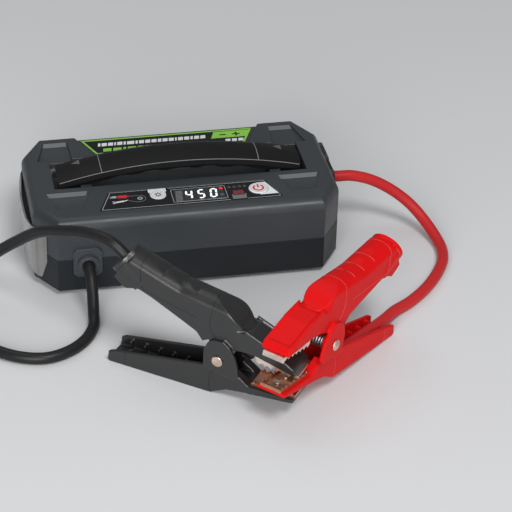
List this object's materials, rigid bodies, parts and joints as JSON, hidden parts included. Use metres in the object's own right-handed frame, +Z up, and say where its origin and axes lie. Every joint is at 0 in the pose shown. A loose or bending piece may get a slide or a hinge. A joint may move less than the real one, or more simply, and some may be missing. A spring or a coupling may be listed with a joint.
{
  "type": "jump starter pack",
  "caption": "Portable car jump starter: graphite case with arched carrying handle, lit control panel, side lamp and two spring clamps on black and red leads.",
  "frame": {"origin": "middle of the case's footprint, on the floor under the feet", "axes": "+X along the case towards the socket end, +Y to the rear deck, +Z up; the clamps lie in front, towards -Y"},
  "size_m": [0.4472, 0.3627, 0.1142],
  "materials": {
    "case_upper": "satin, fine texture",
    "case_lower": "satin, fine texture",
    "soft_grip": "soft touch",
    "black_plastic": "satin",
    "red_plastic": "satin",
    "black_rubber": "matt",
    "red_rubber": "matt",
    "panel": "gloss",
    "window": "gloss",
    "white_plastic": "satin",
    "lens": "clear, lightly frosted",
    "copper": "copper-plated steel",
    "steel": "bright",
    "board": "circuit board",
    "cell": "foil pouch",
    "foam": "foam",
    "label": "printed film, green outline"
  },
  "bodies": {
    "pack": {"upper_shell": "case_upper", "lower_shell": "case_lower", "rubber_feet": "black_rubber", "case_screws": "steel", "handle_core": "black_plastic", "handle_grip": "soft_grip", "handle_end_left": "black_plastic", "handle_end_right": "black_plastic", "handle_screws": "steel", "deck_label": "label", "control_panel": "panel", "display_window": "window", "display_module": "white_plastic", "status_leds": "white_plastic", "button_switches": "black_plastic", "control_board": "board", "board_screws": "steel", "battery_cells": "cell", "battery_tray": "black_plastic", "cell_pads": "foam", "bus_bars": "copper", "power_board": "board", "relay": "black_plastic", "cell_harness": "white_plastic", "lamp_lens": "lens", "lamp_gasket": "black_rubber", "lamp_reflector": "white_plastic", "lamp_led_board": "board", "port_block": "black_plastic", "port_cover_pin": "steel", "black_lead_gland": "black_rubber", "black_lead": "black_rubber", "red_lead_gland": "black_rubber", "red_lead": "red_rubber", "black_upper_arm": "black_plastic", "black_upper_jaw": "copper", "black_upper_jaw_rivets": "steel", "black_pivot_rivet": "copper", "black_spring": "steel", "black_lead_lug": "copper", "red_lower_arm": "red_plastic", "red_lower_jaw": "copper", "red_lower_jaw_rivets": "steel", "red_pivot_rivet": "steel", "red_spring": "steel", "red_lead_lug": "copper"},
    "light_button": {"light_button": "white_plastic"},
    "power_button": {"power_button": "white_plastic"},
    "boost_button": {"boost_button": "white_plastic"},
    "socket_cover": {"port_cover": "black_rubber"},
    "black_clamp_lower": {"black_lower_arm": "black_plastic", "black_lower_jaw": "copper", "black_lower_jaw_rivets": "steel"},
    "red_clamp_upper": {"red_upper_arm": "red_plastic", "red_upper_jaw": "copper", "red_upper_jaw_rivets": "steel"}
  },
  "joints": [
    {"name": "light_button_press", "type": "slide", "parent": "pack", "child": "light_button", "axis": [0, 0, -1], "range_m": [0, 0.0008], "stiffness_N_per_m": 800, "springref_m": -0.001},
    {"name": "power_button_press", "type": "slide", "parent": "pack", "child": "power_button", "axis": [0, 0, -1], "range_m": [0, 0.0008], "stiffness_N_per_m": 800, "springref_m": -0.001},
    {"name": "boost_button_press", "type": "slide", "parent": "pack", "child": "boost_button", "axis": [0, 0, -1], "range_m": [0, 0.0008], "stiffness_N_per_m": 800, "springref_m": -0.001},
    {"name": "socket_cover_hinge", "type": "hinge", "parent": "pack", "child": "socket_cover", "pos_m": [0.1381, 0.0295, 0.062], "axis": [0, -1, 0], "range_deg": [0, 110]},
    {"name": "black_clamp_squeeze", "type": "hinge", "parent": "pack", "child": "black_clamp_lower", "pos_m": [0.0014, -0.224, 0.036], "axis": [0.6018, 0.7986, 0], "range_deg": [0, 22], "stiffness_Nm_per_rad": 1, "springref_deg": -34.38},
    {"name": "red_clamp_squeeze", "type": "hinge", "parent": "pack", "child": "red_clamp_upper", "pos_m": [0.075, -0.234, 0.0472], "axis": [-0.6884, 0.7254, 0], "range_deg": [0, 22], "stiffness_Nm_per_rad": 1, "springref_deg": -34.38}
  ]
}
